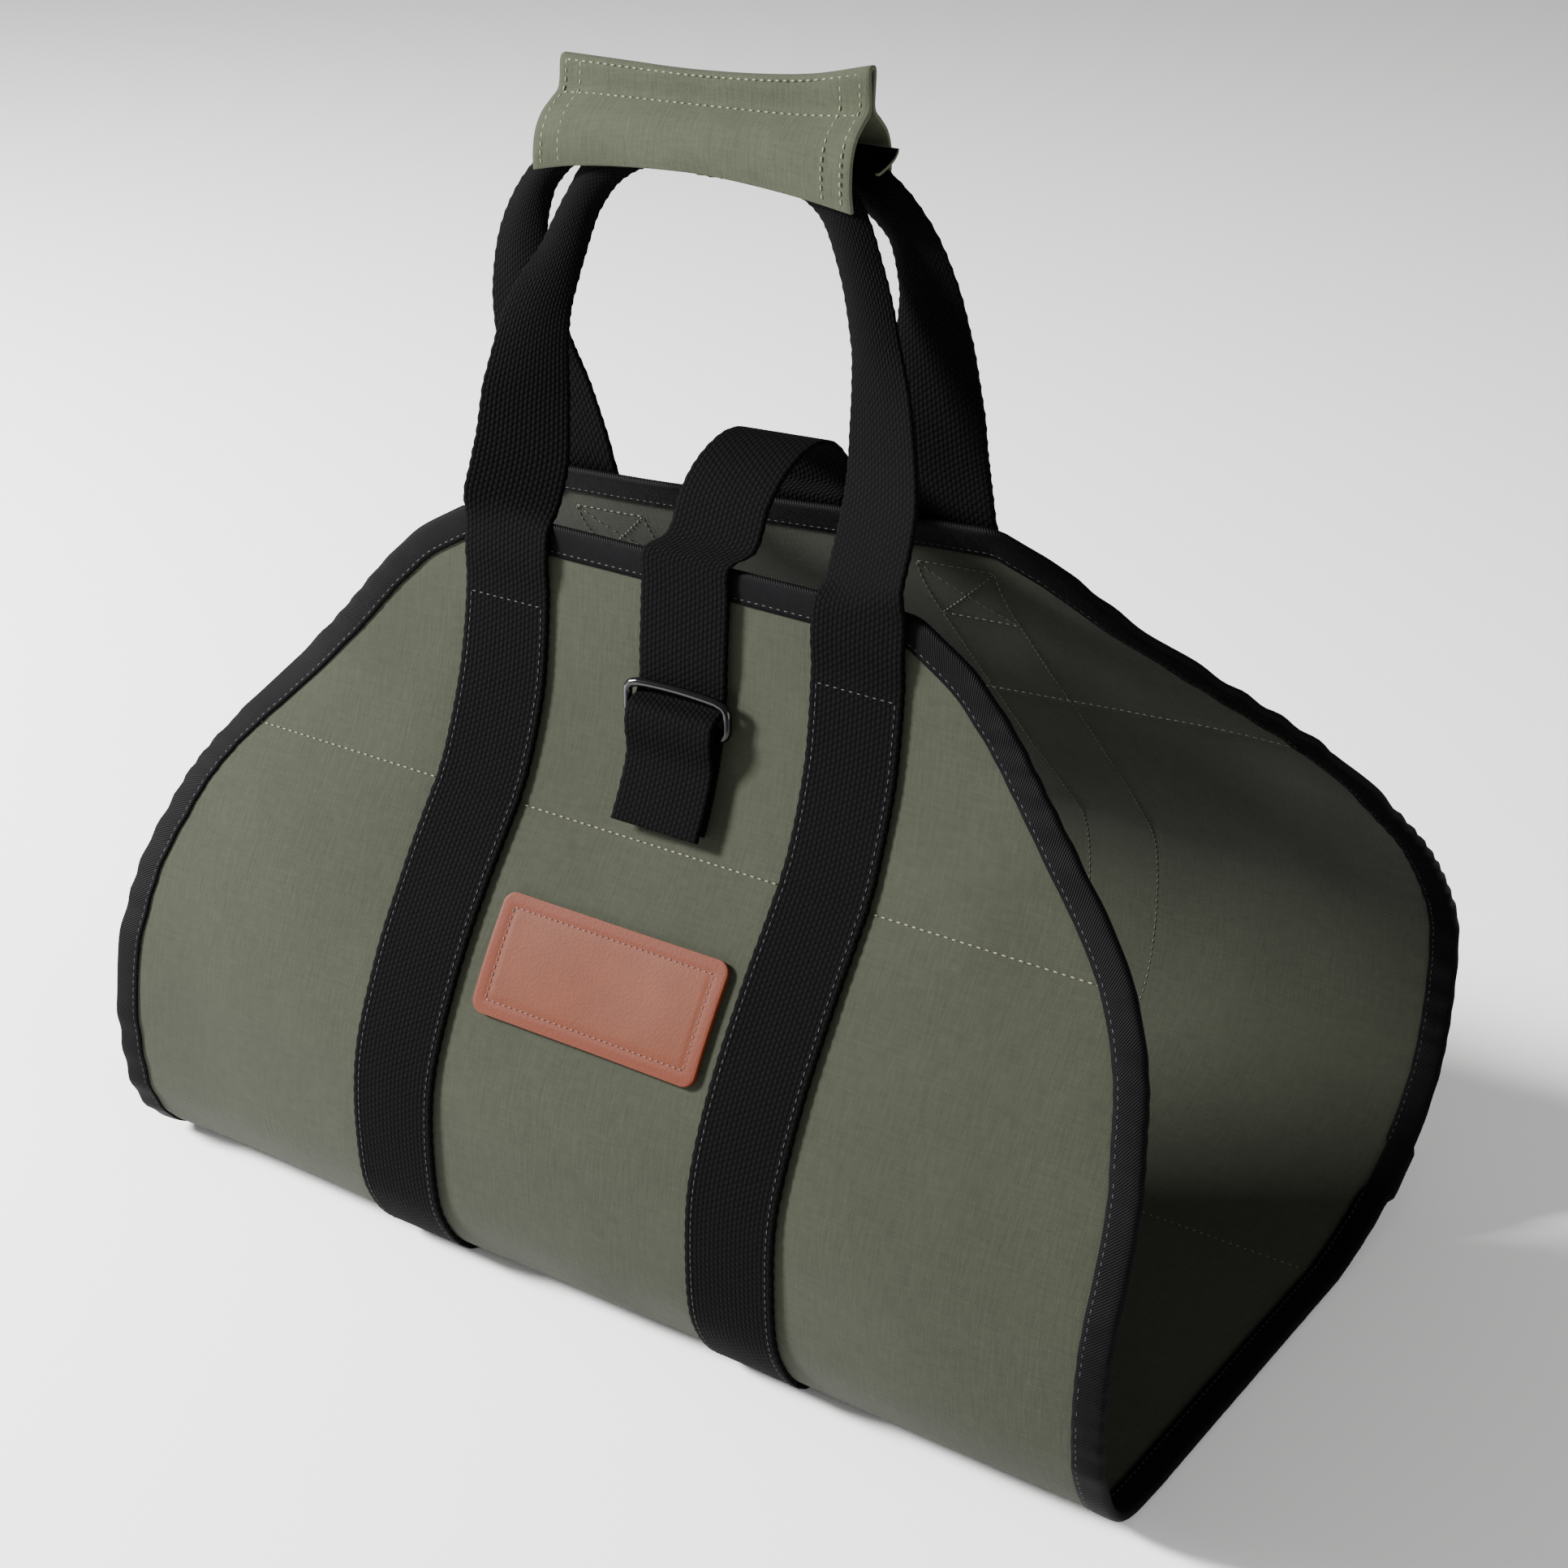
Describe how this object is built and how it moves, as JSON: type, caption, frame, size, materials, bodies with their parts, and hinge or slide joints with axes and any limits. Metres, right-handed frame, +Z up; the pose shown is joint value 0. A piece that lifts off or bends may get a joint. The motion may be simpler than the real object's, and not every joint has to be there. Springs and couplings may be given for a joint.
{
  "type": "canvas log carrier",
  "caption": "Open-ended canvas sling for firewood with webbing straps, joined twin handles, a closing strap with its ring and a leather patch.",
  "frame": {"origin": "centre of the bounding box on the floor", "axes": "+X along the logs, -Y is the front panel with the patch, +Z up"},
  "size_m": [0.457, 0.3022, 0.4588],
  "materials": {
    "canvas": "waxed cotton canvas, olive grey",
    "tape": "black twill tape",
    "webbing": "black cotton webbing",
    "sleeve": "canvas in a lighter olive",
    "enamel": "gloss black",
    "leather": "tan vegetable-tanned leather"
  },
  "bodies": {
    "root": {"canvas_body": "canvas", "edge_binding": "tape", "front_webbing": "webbing", "back_webbing": "webbing", "handle_wrap": "sleeve", "wrap_flap": "webbing", "closure_strap": "webbing", "ring_tab": "webbing", "strap_ring": "enamel", "leather_patch": "leather"}
  },
  "joints": []
}
